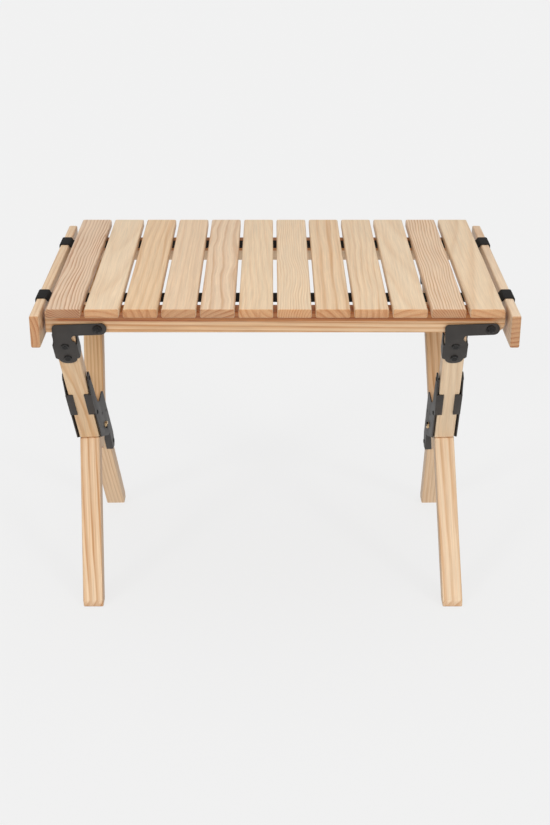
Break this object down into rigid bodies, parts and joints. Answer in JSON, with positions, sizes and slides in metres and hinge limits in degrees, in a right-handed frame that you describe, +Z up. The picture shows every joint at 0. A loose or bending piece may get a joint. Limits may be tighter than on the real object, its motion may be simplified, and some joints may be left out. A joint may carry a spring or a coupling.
{
  "type": "folding camping table",
  "caption": "Low folding camping table: a loose roll-up top of wooden slats on black webbing, laid on two wooden rails over crossed folding legs with dark steel brackets.",
  "frame": {"origin": "on the floor, under the middle of the tabletop", "axes": "+Z up; +X along the table's length, from the left legs to the right legs of the picture; +Y from the edge nearest the camera to the far edge"},
  "size_m": [0.6476, 0.4, 0.47],
  "materials": {
    "slat_wood": "satin",
    "frame_wood": "satin",
    "webbing": "matte",
    "coated_steel": "matte",
    "fastener_steel": "satin",
    "pin_brass": "satin"
  },
  "bodies": {
    "front_rail": {"front_rail": "frame_wood", "left_front_pivot_rivet": "fastener_steel", "right_front_pivot_rivet": "fastener_steel", "left_front_pivot_washer": "fastener_steel", "right_front_pivot_washer": "fastener_steel"},
    "left_leg_a": {"left_leg_a_upper": "frame_wood", "left_leg_a_lower": "frame_wood", "left_front_bracket": "coated_steel", "left_front_bracket_screw_upper": "fastener_steel", "left_front_bracket_screw_lower": "fastener_steel", "left_plate_inner": "coated_steel", "left_plate_outer": "coated_steel"},
    "left_leg_b": {"left_leg_b_upper": "frame_wood", "left_leg_b_lower": "frame_wood", "left_leg_b_core": "frame_wood", "left_centre_pin": "pin_brass", "left_rear_bracket": "coated_steel", "left_rear_bracket_screw_upper": "fastener_steel", "left_rear_bracket_screw_lower": "fastener_steel"},
    "right_leg_a": {"right_leg_a_upper": "frame_wood", "right_leg_a_lower": "frame_wood", "right_front_bracket": "coated_steel", "right_front_bracket_screw_upper": "fastener_steel", "right_front_bracket_screw_lower": "fastener_steel", "right_plate_inner": "coated_steel", "right_plate_outer": "coated_steel"},
    "right_leg_b": {"right_leg_b_upper": "frame_wood", "right_leg_b_lower": "frame_wood", "right_leg_b_core": "frame_wood", "right_centre_pin": "pin_brass", "right_rear_bracket": "coated_steel", "right_rear_bracket_screw_upper": "fastener_steel", "right_rear_bracket_screw_lower": "fastener_steel"},
    "rear_rail": {"rear_rail": "frame_wood", "left_rear_pivot_rivet": "fastener_steel", "right_rear_pivot_rivet": "fastener_steel", "left_rear_pivot_washer": "fastener_steel", "right_rear_pivot_washer": "fastener_steel"},
    "slat_06": {"slat_06": "slat_wood", "front_strap": "webbing", "rear_strap": "webbing"},
    "slat_01": {"slat_01": "slat_wood"},
    "slat_02": {"slat_02": "slat_wood"},
    "slat_03": {"slat_03": "slat_wood"},
    "slat_04": {"slat_04": "slat_wood"},
    "slat_05": {"slat_05": "slat_wood"},
    "slat_07": {"slat_07": "slat_wood"},
    "slat_08": {"slat_08": "slat_wood"},
    "slat_09": {"slat_09": "slat_wood"},
    "slat_10": {"slat_10": "slat_wood"},
    "slat_11": {"slat_11": "slat_wood"},
    "slat_12": {"slat_12": "slat_wood"},
    "end_slat_left": {"end_slat_left": "slat_wood", "front_strap_end_left": "webbing", "rear_strap_end_left": "webbing"},
    "end_slat_right": {"end_slat_right": "slat_wood", "front_strap_end_right": "webbing", "rear_strap_end_right": "webbing"}
  },
  "joints": [
    {"name": "left_swing", "type": "hinge", "parent": "front_rail", "child": "left_leg_a", "pos_m": [-0.236, -0.01, 0.4336], "axis": [0, -1, 0], "range_deg": [0, 87.6]},
    {"name": "right_swing", "type": "hinge", "parent": "front_rail", "child": "right_leg_a", "pos_m": [0.2864, -0.01, 0.4336], "axis": [0, -1, 0], "range_deg": [0, 87.6]},
    {"name": "frame_fold", "type": "hinge", "parent": "left_leg_a", "child": "left_leg_b", "pos_m": [-0.27284, -0.01, 0.21406], "axis": [-1, 0, 0], "range_deg": [-58, 0]},
    {"name": "right_fold", "type": "hinge", "parent": "right_leg_a", "child": "right_leg_b", "pos_m": [0.24956, -0.01, 0.21406], "axis": [-1, 0, 0], "range_deg": [-58, 0]},
    {"name": "rear_rail_swing", "type": "hinge", "parent": "left_leg_b", "child": "rear_rail", "pos_m": [-0.236, -0.01, 0.4336], "axis": [0, -1, 0], "range_deg": [-87.6, 0]},
    {"name": "top_lift", "type": "slide", "parent": "front_rail", "child": "slat_06", "axis": [0, 0, 1], "range_m": [0, 0.26]},
    {"name": "top_roll", "type": "hinge", "parent": "slat_06", "child": "slat_07", "pos_m": [0, 0, 0.4562], "axis": [0, -1, 0], "range_deg": [0, 20]},
    {"name": "roll_08", "type": "hinge", "parent": "slat_07", "child": "slat_08", "pos_m": [0.05045, 0, 0.4562], "axis": [0, -1, 0], "range_deg": [0, 20]},
    {"name": "roll_09", "type": "hinge", "parent": "slat_08", "child": "slat_09", "pos_m": [0.1009, 0, 0.4562], "axis": [0, -1, 0], "range_deg": [0, 20]},
    {"name": "roll_10", "type": "hinge", "parent": "slat_09", "child": "slat_10", "pos_m": [0.15135, 0, 0.4562], "axis": [0, -1, 0], "range_deg": [0, 20]},
    {"name": "roll_11", "type": "hinge", "parent": "slat_10", "child": "slat_11", "pos_m": [0.2018, 0, 0.4562], "axis": [0, -1, 0], "range_deg": [0, 20]},
    {"name": "roll_12", "type": "hinge", "parent": "slat_11", "child": "slat_12", "pos_m": [0.25225, 0, 0.4562], "axis": [0, -1, 0], "range_deg": [0, 20]},
    {"name": "roll_05", "type": "hinge", "parent": "slat_06", "child": "slat_05", "pos_m": [-0.05045, 0, 0.4562], "axis": [0, 1, 0], "range_deg": [0, 20]},
    {"name": "roll_04", "type": "hinge", "parent": "slat_05", "child": "slat_04", "pos_m": [-0.1009, 0, 0.4562], "axis": [0, 1, 0], "range_deg": [0, 20]},
    {"name": "roll_03", "type": "hinge", "parent": "slat_04", "child": "slat_03", "pos_m": [-0.15135, 0, 0.4562], "axis": [0, 1, 0], "range_deg": [0, 20]},
    {"name": "roll_02", "type": "hinge", "parent": "slat_03", "child": "slat_02", "pos_m": [-0.2018, 0, 0.4562], "axis": [0, 1, 0], "range_deg": [0, 20]},
    {"name": "roll_01", "type": "hinge", "parent": "slat_02", "child": "slat_01", "pos_m": [-0.25225, 0, 0.4562], "axis": [0, 1, 0], "range_deg": [0, 20]},
    {"name": "end_slat_right_fold", "type": "hinge", "parent": "slat_12", "child": "end_slat_right", "pos_m": [0.30667, 0, 0.4562], "axis": [0, -1, 0], "range_deg": [0, 90]},
    {"name": "end_slat_left_fold", "type": "hinge", "parent": "slat_01", "child": "end_slat_left", "pos_m": [-0.30667, 0, 0.4562], "axis": [0, 1, 0], "range_deg": [0, 90]}
  ],
  "couplings": [
    {"joint": "right_fold", "follows": "frame_fold", "ratio": 1},
    {"joint": "rear_rail_swing", "follows": "left_swing", "ratio": -1},
    {"joint": "top_lift", "follows": "frame_fold", "m_per_rad": -0.25},
    {"joint": "roll_08", "follows": "top_roll", "ratio": 1},
    {"joint": "roll_09", "follows": "top_roll", "ratio": 1},
    {"joint": "roll_10", "follows": "top_roll", "ratio": 1},
    {"joint": "roll_11", "follows": "top_roll", "ratio": 1},
    {"joint": "roll_12", "follows": "top_roll", "ratio": 1},
    {"joint": "roll_05", "follows": "top_roll", "ratio": 1},
    {"joint": "roll_04", "follows": "top_roll", "ratio": 1},
    {"joint": "roll_03", "follows": "top_roll", "ratio": 1},
    {"joint": "roll_02", "follows": "top_roll", "ratio": 1},
    {"joint": "roll_01", "follows": "top_roll", "ratio": 1}
  ]
}
